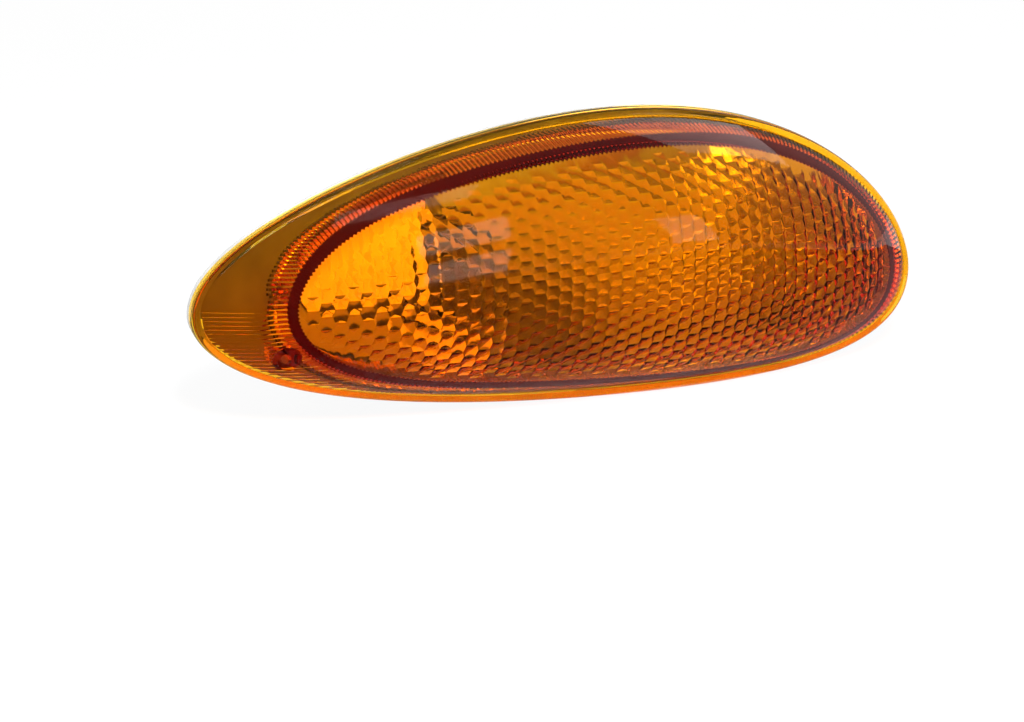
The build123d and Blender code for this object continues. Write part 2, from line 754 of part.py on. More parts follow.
os.makedirs("parts", exist_ok=True)
to_origin = Pos(-FIXING_X, -fixing_end, -FIXING_Z)
for name, make in PIECES.items():
    export_step(to_origin * make(), f"parts/{name}.step")
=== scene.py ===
"""Dresses the indicator lamp: an amber lens with its optics, the reflector, the bulb, the seals and the housing."""

import logging
import math
from collections.abc import Callable
from dataclasses import dataclass, field
from enum import Enum
from functools import partial

import bpy
import numpy as np
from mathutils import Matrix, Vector


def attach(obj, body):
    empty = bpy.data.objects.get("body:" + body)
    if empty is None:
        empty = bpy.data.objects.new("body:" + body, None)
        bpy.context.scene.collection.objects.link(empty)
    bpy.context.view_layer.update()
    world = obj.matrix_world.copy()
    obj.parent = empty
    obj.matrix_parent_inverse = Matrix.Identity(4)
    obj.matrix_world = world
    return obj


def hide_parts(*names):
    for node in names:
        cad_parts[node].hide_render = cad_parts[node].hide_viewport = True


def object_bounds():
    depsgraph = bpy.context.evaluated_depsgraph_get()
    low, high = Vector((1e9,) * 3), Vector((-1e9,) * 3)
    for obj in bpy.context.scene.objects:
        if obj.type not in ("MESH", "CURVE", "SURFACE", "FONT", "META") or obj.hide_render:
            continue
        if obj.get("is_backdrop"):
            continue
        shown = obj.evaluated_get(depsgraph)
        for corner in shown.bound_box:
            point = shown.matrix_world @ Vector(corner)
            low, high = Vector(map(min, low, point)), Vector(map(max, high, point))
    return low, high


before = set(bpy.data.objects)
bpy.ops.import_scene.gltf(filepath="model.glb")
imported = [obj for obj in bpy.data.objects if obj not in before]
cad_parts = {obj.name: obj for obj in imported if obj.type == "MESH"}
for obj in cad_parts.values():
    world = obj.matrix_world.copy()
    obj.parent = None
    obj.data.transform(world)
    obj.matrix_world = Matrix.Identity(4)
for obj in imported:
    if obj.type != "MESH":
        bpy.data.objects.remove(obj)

LOG = logging.getLogger("indicator")
MM = 0.001
# Points along outlines, and half the length in millimetres over which slopes are taken
OUTLINE_STEPS = 1440
PROFILE_STEPS = 401
HALF_STEP = 0.5
# Sides of a pillow, edges along each side, and the distance between its rings as a share of its radius
PILLOW_SIDES = 6
PILLOW_SPLITS = 3
PILLOW_INSET = 0.3
CENTRE_SPOT = 0.01
TINY = 1e-6
ROD_SIDES = 64
# Part of a noise value's range over which colours mix, and the detail of fine grain
TINT_SPAN = (0.3, 0.7)
FINE_DETAIL = 2.0
Colour = tuple[float, float, float]
Point = tuple[float, float, float]
Loop = np.ndarray


class Rays(Enum):
    """Kinds of ray that see the floor as plain white."""

    CAMERA = "Is Camera Ray"
    GLOSSY = "Is Glossy Ray"
    TRANSMISSION = "Is Transmission Ray"


class Shader:
    """A material's node tree with one surface shader."""

    def __init__(self, name: str) -> None:
        """Makes an empty material.

        Args:
            name: Name of the material.
        """
        self.material = bpy.data.materials.new(name)
        self.material.use_nodes = True
        self.tree = self.material.node_tree
        self.tree.nodes.clear()
        self.output = self.tree.nodes.new("ShaderNodeOutputMaterial")

    def node(self, kind: str, **values: object) -> bpy.types.Node:
        """Adds a node.

        Args:
            kind: Blender's type name of the node.
            values: Properties of the node, set by name.

        Returns:
            The new node.
        """
        made = self.tree.nodes.new(kind)
        for key, value in values.items():
            setattr(made, key, value)
        return made

    def link(self, source: bpy.types.NodeSocket, target: bpy.types.NodeSocket) -> None:
        """Joins two sockets."""
        self.tree.links.new(source, target)

    def principled(self, **sockets: object) -> bpy.types.Node:
        """Adds the surface shader and joins it to the output.

        Args:
            sockets: Socket values, with underscores for the spaces in their names.

        Returns:
            The shader node.
        """
        shader = self.node("ShaderNodeBsdfPrincipled")
        for key, value in sockets.items():
            shader.inputs[key.replace("_", " ")].default_value = value
        self.link(shader.outputs[0], self.output.inputs["Surface"])
        return shader

    def place(self) -> bpy.types.NodeSocket:
        """Gives object coordinates in metres."""
        return self.node("ShaderNodeTexCoord").outputs["Object"]

    def noise(self, per_metre: float, detail: float = 3.0) -> bpy.types.NodeSocket:
        """Gives a noise value from 0 to 1.

        Args:
            per_metre: Spots in a metre.
            detail: Levels of finer spots.

        Returns:
            The value's socket.
        """
        texture = self.node("ShaderNodeTexNoise")
        texture.inputs["Scale"].default_value = per_metre
        texture.inputs["Detail"].default_value = detail
        self.link(self.place(), texture.inputs["Vector"])
        return texture.outputs[0]

    def span(
        self, value: bpy.types.NodeSocket, low: float, high: float, start: tuple[float, float] = (0.0, 1.0)
    ) -> bpy.types.NodeSocket:
        """Spreads a value over a range.

        Args:
            value: The value's socket.
            low: What the value gives at the start of its own range.
            high: What it gives at the end.
            start: The value's own range, beyond which it gives low or high.

        Returns:
            The spread value's socket.
        """
        ranged = self.node("ShaderNodeMapRange")
        ranged.inputs["From Min"].default_value, ranged.inputs["From Max"].default_value = start
        ranged.inputs["To Min"].default_value = low
        ranged.inputs["To Max"].default_value = high
        self.link(value, ranged.inputs["Value"])
        return ranged.outputs[0]

    def tint(self, value: bpy.types.NodeSocket, dark: Colour, light: Colour) -> bpy.types.NodeSocket:
        """Mixes two colours by a value from 0 to 1."""
        ramp = self.node("ShaderNodeValToRGB")
        for element, position, colour in zip(ramp.color_ramp.elements, TINT_SPAN, (dark, light)):
            element.position = position
            element.color = (*colour, 1.0)
        self.link(value, ramp.inputs["Fac"])
        return ramp.outputs[0]

    def apart(self, place: Point, reach: tuple[float, float]) -> bpy.types.NodeSocket:
        """Goes from 0 to 1 with the distance from a place.

        Args:
            place: The place in object coordinates.
            reach: The distances in metres where it leaves 0 and comes to 1.

        Returns:
            The value's socket.
        """
        away = self.node("ShaderNodeVectorMath", operation="DISTANCE")
        away.inputs[1].default_value = place
        self.link(self.place(), away.inputs[0])
        return self.span(away.outputs["Value"], 0.0, 1.0, reach)

    def blend(self, value: bpy.types.NodeSocket, start: Colour, end: bpy.types.NodeSocket) -> bpy.types.NodeSocket:
        """Goes from one colour to the colour of a socket as a value goes from 0 to 1."""
        mix = self.node("ShaderNodeMix", data_type="RGBA")
        first, second = [item for item in mix.inputs if item.type == "RGBA"]
        first.default_value = (*start, 1.0)
        self.link(value, mix.inputs["Factor"])
        self.link(end, second)
        return [item for item in mix.outputs if item.type == "RGBA"][0]

    def bump(self, height: bpy.types.NodeSocket, depth: float, strength: float) -> bpy.types.NodeSocket:
        """Turns a height from 0 to 1 into a surface bump of a depth in metres."""
        made = self.node("ShaderNodeBump")
        made.inputs["Distance"].default_value = depth
        made.inputs["Strength"].default_value = strength
        self.link(height, made.inputs["Height"])
        return made.outputs[0]


@dataclass(frozen=True)
class AmberAcrylic:
    """Clear amber acrylic that darkens with the depth of plastic."""

    name: str = "amber_acrylic"
    absorption: Colour = (0.98886, 0.8495, 0.0)
    density: float = 1840.0
    shadow: Colour = (0.97, 0.9, 0.6)
    sheen: Colour = (0.2, 0.2, 0.2)
    ior: float = 1.49
    roughness: tuple[float, float] = (0.008, 0.03)
    spots: float = 300.0

    def build(self) -> bpy.types.Material:
        """Makes the material."""
        shader = Shader(self.name)
        surface = shader.principled(
            Base_Color=(1.0, 1.0, 1.0, 1.0), Transmission_Weight=1.0, IOR=self.ior,
            Specular_Tint=(*self.sheen, 1.0),
        )
        shader.link(shader.span(shader.noise(self.spots), *self.roughness), surface.inputs["Roughness"])
        volume = shader.node("ShaderNodeVolumeAbsorption")
        volume.inputs["Color"].default_value = (*self.absorption, 1.0)
        volume.inputs["Density"].default_value = self.density
        shader.link(volume.outputs[0], shader.output.inputs["Volume"])
        path = shader.node("ShaderNodeLightPath")
        through = shader.node("ShaderNodeBsdfTransparent")
        through.inputs["Color"].default_value = (*self.shadow, 1.0)
        mix = shader.node("ShaderNodeMixShader")
        shader.link(path.outputs["Is Shadow Ray"], mix.inputs[0])
        shader.link(surface.outputs[0], mix.inputs[1])
        shader.link(through.outputs[0], mix.inputs[2])
        shader.link(mix.outputs[0], shader.output.inputs["Surface"])
        return shader.material


@dataclass(frozen=True)
class MouldedPlastic:
    """Moulded plastic or rubber with a fine grain and a little variation of colour."""

    name: str
    dark: Colour
    light: Colour
    roughness: tuple[float, float]
    grain: float = 5000.0
    depth: float = 0.00004
    strength: float = 0.6
    mottle: float = 120.0
    polish: float = 400.0
    ior: float = 1.5

    def build(self) -> bpy.types.Material:
        """Makes the material."""
        shader = Shader(self.name)
        surface = shader.principled(IOR=self.ior)
        shader.link(shader.tint(shader.noise(self.mottle), self.dark, self.light), surface.inputs["Base Color"])
        shader.link(shader.span(shader.noise(self.polish), *self.roughness), surface.inputs["Roughness"])
        bump = shader.bump(shader.noise(self.grain, FINE_DETAIL), self.depth, self.strength)
        shader.link(bump, surface.inputs["Normal"])
        return shader.material


@dataclass(frozen=True)
class BrightMetal:
    """Metal or metallised plastic with a slight ripple and stains."""

    name: str
    dark: Colour
    light: Colour
    roughness: tuple[float, float]
    ripple: float = 250.0
    depth: float = 0.00004
    strength: float = 0.5
    stains: float = 180.0
    polish: float = 900.0

    def build(self) -> bpy.types.Material:
        """Makes the material."""
        shader = Shader(self.name)
        surface = shader.principled(Metallic=1.0)
        shader.link(shader.tint(shader.noise(self.stains), self.dark, self.light), surface.inputs["Base Color"])
        shader.link(shader.span(shader.noise(self.polish), *self.roughness), surface.inputs["Roughness"])
        bump = shader.bump(shader.noise(self.ripple, FINE_DETAIL), self.depth, self.strength)
        shader.link(bump, surface.inputs["Normal"])
        return shader.material


@dataclass(frozen=True)
class CoatWithPaintedLight(BrightMetal):
    """Metallised plastic, left matt at the tail, with painted shade round the bulb and a painted pale patch of
    light in one spot.
    """

    matt_from: float = -0.063
    matt_to: float = -0.071
    matt: Colour = (0.23, 0.23, 0.22)
    matt_roughness: float = 0.5
    # Painted shade: the coat's colour darkens towards a place near the bulb, standing in for the shade there.
    shade_place: Point = (-0.037, -0.0195, -0.018)
    shade_reach: float = 0.024
    shade_core: float = 0.3
    painted_shade: Colour = (0.22, 0.22, 0.22)
    # Painted light: a pale matt patch in one spot stands in for a bright zone of reflected light.
    lit_patch_place: Point = (-0.059, -0.0195, -0.0145)
    lit_patch_reach: float = 0.012
    lit_patch_core: float = 0.8
    painted_light: Colour = (0.62, 0.62, 0.60)

    def build(self) -> bpy.types.Material:
        """Makes the material."""
        shader = Shader(self.name)
        surface = shader.principled()
        coat = shader.tint(shader.noise(self.stains), self.dark, self.light)
        # Painted shade: darker coat colour round the bulb.
        unshaded = shader.apart(self.shade_place, (self.shade_core * self.shade_reach, self.shade_reach))
        shaded_coat = shader.blend(unshaded, self.painted_shade, coat)
        axes = shader.node("ShaderNodeSeparateXYZ")
        shader.link(shader.place(), axes.inputs[0])
        ahead = shader.span(axes.outputs["X"], 0.0, 1.0, (self.matt_to, self.matt_from))
        # Painted light: a pale matt patch near one place, which also turns the coat's metal off there.
        off_lit_patch = shader.apart(self.lit_patch_place, (self.lit_patch_core * self.lit_patch_reach, self.lit_patch_reach))
        product = shader.node("ShaderNodeMath", operation="MULTIPLY")
        shader.link(ahead, product.inputs[0])
        shader.link(off_lit_patch, product.inputs[1])
        bright = product.outputs[0]
        coloured = shader.blend(off_lit_patch, self.painted_light, shader.blend(ahead, self.matt, shaded_coat))
        shader.link(coloured, surface.inputs["Base Color"])
        shader.link(bright, surface.inputs["Metallic"])
        shader.link(shader.span(bright, self.matt_roughness, self.roughness[0]), surface.inputs["Roughness"])
        bump = shader.bump(shader.noise(self.ripple, FINE_DETAIL), self.depth, self.strength)
        shader.link(bump, surface.inputs["Normal"])
        return shader.material


@dataclass(frozen=True)
class BlownGlass:
    """Blown glass with slight waves, frosted inside where its clearness is under 1."""

    name: str
    colour: Colour = (1.0, 1.0, 1.0)
    roughness: float = 0.01
    clearness: float = 0.35
    depth: float = 0.00005
    strength: float = 0.4
    waves: float = 150.0
    ior: float = 1.45

    def build(self) -> bpy.types.Material:
        """Makes the material."""
        shader = Shader(self.name)
        surface = shader.principled(
            Base_Color=(*self.colour, 1.0), Transmission_Weight=self.clearness, IOR=self.ior,
            Roughness=self.roughness,
        )
        bump = shader.bump(shader.noise(self.waves, 1.0), self.depth, self.strength)
        shader.link(bump, surface.inputs["Normal"])
        return shader.material


@dataclass(frozen=True)
class CentreLine:
    """Curved line along the middle of the lamp, a cubic through four heights in millimetres."""

    tail: float = -90.0
    length: float = 180.0
    heights: tuple[float, float, float, float] = (-3.7, -1.2, -2.1, -13.8)

    def height(self, x: np.ndarray) -> np.ndarray:
        """Gives the height of the line at x."""
        share = (np.asarray(x, float) - self.tail) / self.length * (len(self.heights) - 1)
        total = np.zeros_like(share)
        for i, value in enumerate(self.heights):
            weight = np.full_like(share, value)
            for j in range(len(self.heights)):
                if j != i:
                    weight = weight * (share - j) / (i - j)
            total = total + weight
        return total


@dataclass(frozen=True)
class Teardrop:
    """Closed teardrop about the centre line, in millimetres."""

    line: CentreLine
    tail: float
    nose: float
    half: float
    fullness: tuple[float, float]

    def profile(self, share: np.ndarray) -> np.ndarray:
        """Gives the square of the half height at a share of the length, not yet scaled."""
        first, second = self.fullness
        return share * (1.0 - share) * (1.0 + first * share + second * share * share)

    def half_squared(self, x: np.ndarray) -> np.ndarray:
        """Gives the square of the half height at x, negative beyond the ends."""
        peak = self.profile(np.linspace(0.0, 1.0, PROFILE_STEPS)).max()
        share = (np.asarray(x, float) - self.tail) / (self.nose - self.tail)
        return self.half ** 2 * self.profile(share) / peak

    def holds(self, x: np.ndarray, z: np.ndarray) -> np.ndarray:
        """Tells whether the outline holds each point."""
        return self.half_squared(x) > (np.asarray(z, float) - self.line.height(x)) ** 2

    def inset(self, tail: float, nose: float, side: float) -> "Teardrop":
        """Gives a smaller teardrop of the same form."""
        return Teardrop(self.line, self.tail + tail, self.nose - nose, self.half - side, self.fullness)

    def trace(self, steps: int = OUTLINE_STEPS) -> Loop:
        """Gives points round the outline, over the top from the tail."""
        angle = 2.0 * math.pi * np.arange(steps) / steps
        x = (self.tail + self.nose) / 2.0 - (self.nose - self.tail) / 2.0 * np.cos(angle)
        half = np.sqrt(np.maximum(self.half_squared(x), 0.0))
        return np.column_stack([x, self.line.height(x) + np.where(angle <= math.pi, half, -half)])

    def length(self) -> float:
        """Gives the length of the outline."""
        trace = self.trace()
        return float(np.linalg.norm(np.roll(trace, -1, axis=0) - trace, axis=1).sum())

    def even(self, count: int, inset: float = 0.0, ripple: float = 0.0) -> Loop:
        """Gives evenly spaced points of the outline.

        Args:
            count: How many points.
            inset: How far they are moved inwards.
            ripple: How much further every second one is moved.

        Returns:
            The points' x and z, one row each.
        """
        trace = self.trace()
        step = np.roll(trace, -1, axis=0) - trace
        span = np.linalg.norm(step, axis=1)
        walked = np.concatenate([[0.0], np.cumsum(span)])
        wanted = walked[-1] * np.arange(count) / count
        place = np.searchsorted(walked, wanted, side="right") - 1
        share = ((wanted - walked[place]) / span[place])[:, None]
        along = step[place] / span[place][:, None]
        move = (inset + ripple * (np.arange(count) % 2))[:, None]
        return trace[place] + step[place] * share + np.column_stack([along[:, 1], -along[:, 0]]) * move


@dataclass
class Lens:
    """Amber lens: domed skin with a rim, fluted sealing wall, screw boss and pillow optics.

    Sizes are in millimetres from the front of the rim, which lies off the frame's origin by `origin`.
    """

    finish: AmberAcrylic
    origin: Point = (34.0, 34.5, -3.0)
    half_height: float = 33.8
    rim_fullness: tuple[float, float] = (0.385, 0.472)
    rim_width: float = 2.0
    rim_thickness: float = 3.0
    rim_round: float = 1.7
    rim_steps: int = 5
    rim_lip: float = 0.35
    rim_floor: float = 1.3
    seat_gap: float = 0.05
    dome_rise: float = 21.0
    dome_fullness: float = 0.94
    skin: float = 2.6
    wall: float = 2.2
    window_insets: tuple[float, float, float] = (19.5, 7.5, 5.5)
    window_fullness: tuple[float, float] = (-0.92, 1.43)
    flute_pitch: float = 1.1
    flute_depth: float = 0.45
    flute_reach: float = 4.0
    flute_rings: int = 2
    pillow_pitch: float = 3.0
    pillow_rise: float = 0.38
    pillow_squareness: float = 0.5
    pillow_border: float = 1.2
    boss_place: tuple[float, float] = (-69.3, -13.9)
    boss_radius: float = 3.0
    hole_radius: float = 1.3
    hole_depth: float = 5.0
    hole_past: float = 1.0
    rib_heights: tuple[float, float] = (-3.0, -24.0)
    rib_pitch: float = 0.95
    rib_depth: float = 0.12
    rib_root: float = 0.15
    rib_clear: float = 0.9
    rib_end: float = -48.0
    rib_half_share: float = 0.36
    rib_points: int = 16
    rib_samples: int = 321
    weld: float = 0.002
    smooth_angle: float = 22.0
    front_rings: int = 34
    back_rings: int = 10
    line: CentreLine = field(default_factory=CentreLine)

    def __post_init__(self) -> None:
        """Works out the three outlines and the dome's curve."""
        tail, nose = self.line.tail, self.line.tail + self.line.length
        self.rim = Teardrop(self.line, tail, nose, self.half_height, self.rim_fullness)
        self.dome = self.rim.inset(self.rim_width, self.rim_width, self.rim_width)
        first, last, side = self.window_insets
        half = self.half_height - side
        self.window = Teardrop(self.line, tail + first, nose - last, half, self.window_fullness)
        self.softness = (self.dome_fullness * self.dome.half) ** 2
        self.scale = self.dome_rise / (1.0 - math.exp(-self.dome.half ** 2 / self.softness))
        self.stations = 2 * round(self.window.length() / self.flute_pitch)

    def rise(self, x: np.ndarray, z: np.ndarray) -> np.ndarray:
        """Gives the height of the dome in front of the rim."""
        inside = self.dome.half_squared(x) - (np.asarray(z, float) - self.line.height(x)) ** 2
        return self.scale * (1.0 - np.exp(-inside / self.softness))

    def on_back(self, flat: Loop, deeper: float = 0.0) -> np.ndarray:
        """Sets x and z points on the back of the skin, or deeper behind it."""
        return np.column_stack([flat[:, 0], self.skin - self.rise(flat[:, 0], flat[:, 1]) + deeper, flat[:, 1]])

    @staticmethod
    def level(flat: Loop, y: float) -> np.ndarray:
        """Sets x and z points at one depth."""
        return np.column_stack([flat[:, 0], np.full(len(flat), y), flat[:, 1]])

    def to_frame(self, points: np.ndarray) -> np.ndarray:
        """Moves points from the lens's own place to the frame, in metres."""
        return (np.asarray(points, float) - np.array(self.origin)) * MM

    def body_loops(self) -> list[np.ndarray]:
        """Gives the loops of the lens in order, from the middle of the dome to the foot of the wall."""
        count = self.stations
        edge = self.dome.even(count)
        offset = edge[:, 1] - self.line.height(edge[:, 0])
        middle = (self.dome.tail + self.dome.nose) / 2.0
        loops = []
        for ring in range(self.front_rings + 1):
            share = math.sin(math.pi / 2.0 * ring / self.front_rings)
            x = middle + (edge[:, 0] - middle) * share
            z = self.line.height(x) + offset * share
            loops.append(np.column_stack([x, -self.rise(x, z), z]))
        back = self.rim_thickness - self.seat_gap
        for step in range(self.rim_steps + 1):
            turn = math.pi / 2.0 * step / self.rim_steps
            rounded = self.rim.even(count, self.rim_round * (1.0 - math.sin(turn)))
            loops.append(self.level(rounded, self.rim_round * (1.0 - math.cos(turn))))
        lip = self.rim.even(count, self.rim_lip)
        loops += [self.level(self.rim.even(count), back), self.level(lip, back)]
        loops += [self.level(lip, self.rim_floor), self.level(edge, self.rim_floor)]
        fluted = self.window.even(count, ripple=self.flute_depth)
        ridge = self.flute_depth * (np.arange(count) % 2)
        for ring in range(self.back_rings + 1):
            flat = edge + (fluted - edge) * ring / self.back_rings
            near = np.clip(2.0 - np.linalg.norm(fluted - flat, axis=1) / self.flute_reach, 0.0, 1.0)
            loops.append(self.on_back(flat, ridge * near * min(1.0, ring / self.flute_rings)))
        loops.append((loops[-1] + self.level(fluted, back)) / 2.0)
        loops.append(self.level(fluted, back))
        inner = self.window.even(count, self.wall, self.flute_depth)
        return loops + [self.level(inner, back), self.on_back(inner)]

    def build_body(self) -> bpy.types.Object:
        """Lays a grid over the loops, with a seam that is welded later."""
        loops = np.array(self.body_loops())
        rings = len(loops)
        bpy.ops.mesh.primitive_grid_add(x_subdivisions=self.stations, y_subdivisions=rings - 1, size=2.0)
        body = bpy.context.active_object
        flat = np.zeros(len(body.data.vertices) * 3)
        body.data.vertices.foreach_get("co", flat)
        flat = flat.reshape(-1, 3)
        station = np.rint((flat[:, 0] + 1.0) / 2.0 * self.stations).astype(int) % self.stations
        ring = np.rint((flat[:, 1] + 1.0) / 2.0 * (rings - 1)).astype(int)
        body.data.vertices.foreach_set("co", self.to_frame(loops[ring, station]).ravel())
        return body

    @staticmethod
    def march(start: float, slope: Callable[[float], float], step: float, reach: float) -> list[float]:
        """Gives places a surface step apart.

        Args:
            start: The first place.
            slope: Gives the surface's slope at a place.
            step: Length of a step on the surface, negative to go back.
            reach: Distance from the start that the last place goes past.

        Returns:
            The places in order.
        """
        places = [start]
        while abs(places[-1] - start) < reach:
            places.append(places[-1] + step / math.hypot(1.0, slope(places[-1])))
        return places

    def slope_along(self, x: float) -> float:
        """Gives the slope of the dome along its centre line."""
        near, far = x - HALF_STEP, x + HALF_STEP
        return float(self.rise(far, self.line.height(far)) - self.rise(near, self.line.height(near)))

    def slope_up(self, x: float, z: float) -> float:
        """Gives the upward slope of the dome at a point."""
        return float(self.rise(x, z + HALF_STEP) - self.rise(x, z - HALF_STEP))

    def pillow_columns(self) -> list[dict[int, tuple[float, float]]]:
        """Gives pillow centres by column and row, with every second column half a pitch lower."""
        pitch = self.pillow_pitch
        middle = (self.window.tail + self.window.nose) / 2.0
        reach = (self.window.nose - self.window.tail) / 2.0 + pitch
        places = self.march(middle, self.slope_along, -pitch, reach)[:0:-1]
        places += self.march(middle, self.slope_along, pitch, reach)
        columns = []
        for number, x in enumerate(places):
            upward = partial(self.slope_up, x)
            start = float(self.line.height(x)) - pitch / 2.0 * (number % 2)
            above = self.march(start, upward, pitch, self.half_height)
            below = self.march(start, upward, -pitch, self.half_height)
            column = {row: (x, z) for row, z in enumerate(above)}
            column.update({-row: (x, z) for row, z in enumerate(below)})
            columns.append(column)
        return columns

    def pillow_cells(self) -> list[tuple[tuple[float, float], list[tuple], list[tuple[float, float]]]]:
        """Gives each six-cornered pillow inside the window: its centre, its corners' keys and its corners."""
        columns = self.pillow_columns()
        limit = self.window.inset(*[self.wall + self.pillow_border] * 3)
        cells = []
        for number in range(1, len(columns) - 1):
            lower = -(number % 2)
            for row, centre in columns[number].items():
                near = [
                    (number, row + 1), (number + 1, row + 1 + lower), (number + 1, row + lower),
                    (number, row - 1), (number - 1, row + lower), (number - 1, row + 1 + lower),
                ]
                if any(place not in columns[column] for column, place in near):
                    continue
                pairs = zip(near, near[1:] + near[:1])
                keys = [tuple(sorted([(number, row), *pair])) for pair in pairs]
                corners = [self.pillow_corner([columns[c][r] for c, r in key]) for key in keys]
                if all(bool(limit.holds(*corner)) for corner in corners):
                    cells.append((centre, keys, corners))
        return cells

    def pillow_corner(self, trio: list[tuple[float, float]]) -> tuple[float, float]:
        """Gives the corner where three pillows meet, two of them in one column."""
        x = [place[0] for place in trio]
        mean = np.mean(trio, axis=0)
        mates = [place for place in trio if x.count(place[0]) == 2]
        square = ((min(x) + max(x)) / 2.0, (mates[0][1] + mates[1][1]) / 2.0)
        return tuple(mean + (np.array(square) - mean) * self.pillow_squareness)

    @staticmethod
    def pillow_pattern() -> tuple[np.ndarray, list[tuple[int, ...]]]:
        """Models one pillow as a disc with rings.

        Returns:
            Its points as distance from the centre and turn in sixths, and its faces.
        """
        bpy.ops.mesh.primitive_circle_add(vertices=PILLOW_SIDES * PILLOW_SPLITS, radius=1.0, fill_type="TRIFAN")
        disc = bpy.context.active_object
        bpy.ops.object.mode_set(mode="EDIT")
        bpy.ops.mesh.select_all(action="SELECT")
        bpy.ops.mesh.inset(thickness=PILLOW_INSET)
        bpy.ops.mesh.inset(thickness=PILLOW_INSET)
        bpy.ops.object.mode_set(mode="OBJECT")
        points = np.array([vertex.co[:2] for vertex in disc.data.vertices])
        faces = [tuple(polygon.vertices) for polygon in disc.data.polygons]
        bpy.data.objects.remove(disc)
        away = np.hypot(points[:, 0], points[:, 1])
        degrees = np.degrees(np.arctan2(points[:, 1], points[:, 0])) - 90.0
        turn = degrees % 360.0 / (360.0 / PILLOW_SIDES)
        turn = np.rint(turn * PILLOW_SPLITS) / PILLOW_SPLITS % PILLOW_SIDES
        return np.column_stack([np.where(away < CENTRE_SPOT, 0.0, away / away.max()), turn]), faces

    def build_window(self) -> bpy.types.Object:
        """Lays a copy of the pillow in each cell, and a plain border out to the wall."""
        pattern, faces = self.pillow_pattern()
        cells = self.pillow_cells()
        corners = np.array([cell[2] for cell in cells])
        centres = np.array([cell[0] for cell in cells])[:, None, :]
        whole = np.floor(pattern[:, 1] + TINY)
        sector = whole.astype(int) % PILLOW_SIDES
        part = (pattern[:, 1] - whole)[None, :, None]
        rim = corners[:, sector] * (1.0 - part) + corners[:, (sector + 1) % PILLOW_SIDES] * part
        flat = centres + (rim - centres) * pattern[None, :, :1]
        lift = self.pillow_rise * (1.0 - pattern[:, 0] ** 2)
        points = [self.on_back(cell) + np.column_stack([lift * 0, lift, lift * 0]) for cell in flat]
        polygons = [tuple(v + i * len(pattern) for v in face) for i in range(len(cells)) for face in faces]
        vertices = np.concatenate(points)
        strip, triangles = self.border(cells)
        polygons += [tuple(v + len(vertices) for v in triangle) for triangle in triangles]
        mesh = bpy.data.meshes.new("window_optics")
        mesh.from_pydata(self.to_frame(np.concatenate([vertices, self.on_back(strip)])).tolist(), [], polygons)
        optics = bpy.data.objects.new("window_optics", mesh)
        bpy.context.collection.objects.link(optics)
        return optics

    def border(self, cells: list[tuple]) -> tuple[Loop, list[tuple[int, int, int]]]:
        """Stitches the outermost pillows to the foot of the wall.

        Args:
            cells: The pillows.

        Returns:
            The points of both loops and the triangles between them.
        """
        places: dict[tuple, tuple[float, float]] = {}
        onward: dict[tuple, tuple] = {}
        seen = set()
        for _, keys, corners in cells:
            places.update(zip(keys, corners))
            seen.update(zip(keys, keys[1:] + keys[:1]))
        for start, end in seen:
            if (end, start) not in seen:
                onward[start] = end
        keys = [min(onward)]
        while onward[keys[-1]] != keys[0]:
            keys.append(onward[keys[-1]])
        rough = np.array([places[key] for key in keys])
        ahead = np.roll(rough, -1, axis=0)
        inner = np.concatenate([
            [p + (q - p) * step / PILLOW_SPLITS for step in range(PILLOW_SPLITS)] for p, q in zip(rough, ahead)
        ])
        outer = self.window.even(self.stations, self.wall, self.flute_depth)
        if self.turning(inner) * self.turning(outer) < 0.0:
            inner = inner[::-1]
        start = int(np.argmin(np.linalg.norm(inner - outer[0], axis=1)))
        inner = np.roll(inner, -start, axis=0)
        triangles = []
        i = j = 0
        while i < len(outer) or j < len(inner):
            a, b = outer[i % len(outer)], inner[j % len(inner)]
            next_a, next_b = outer[(i + 1) % len(outer)], inner[(j + 1) % len(inner)]
            ends = (i % len(outer), len(outer) + j % len(inner))
            if j >= len(inner) or (i < len(outer) and math.dist(next_a, b) < math.dist(a, next_b)):
                triangles.append((*ends, (i + 1) % len(outer)))
                i += 1
            else:
                triangles.append((*ends, len(outer) + (j + 1) % len(inner)))
                j += 1
        return np.concatenate([outer, inner]), triangles

    @staticmethod
    def turning(loop: Loop) -> float:
        """Gives the signed area of a loop, which tells the way it runs."""
        ahead = np.roll(loop, -1, axis=0)
        return float((loop[:, 0] * ahead[:, 1] - loop[:, 1] * ahead[:, 0]).sum() / 2.0)

    def rod(self, radius: float, front: float, back: float) -> bpy.types.Object:
        """Adds a round rod along Y at the screw boss."""
        x, z = self.boss_place
        place = self.to_frame(np.array([[x, (front + back) / 2.0, z]]))[0]
        bpy.ops.mesh.primitive_cylinder_add(
            vertices=ROD_SIDES, radius=radius * MM, depth=(back - front) * MM, location=place,
            rotation=(math.pi / 2.0, 0.0, 0.0),
        )
        return bpy.context.active_object

    def build(self) -> bpy.types.Object:
        """Joins body, optics, boss and ribs into one closed lens, and dresses it.

        Returns:
            The lens.
        """
        clear_selection()
        body = self.build_body()
        optics = self.build_window()
        pick(optics, body)
        bpy.ops.object.join()
        body.name = "amber_lens"
        turn_outwards(body, self.weld * MM)
        x, z = self.boss_place
        back = self.rim_thickness - self.seat_gap
        front = float(self.skin / 2.0 - self.rise(x, z))
        combine(body, self.rod(self.boss_radius, front, back), "UNION")
        combine(body, self.rod(self.hole_radius, back - self.hole_depth, back + self.hole_past), "DIFFERENCE")
        combine(body, self.tail_ribs(), "UNION")
        body.data.materials.clear()
        body.data.materials.append(self.finish.build())
        pick(body)
        bpy.ops.object.shade_smooth_by_angle(angle=math.radians(self.smooth_angle))
        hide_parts("lens")
        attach(body, "root")
        return body

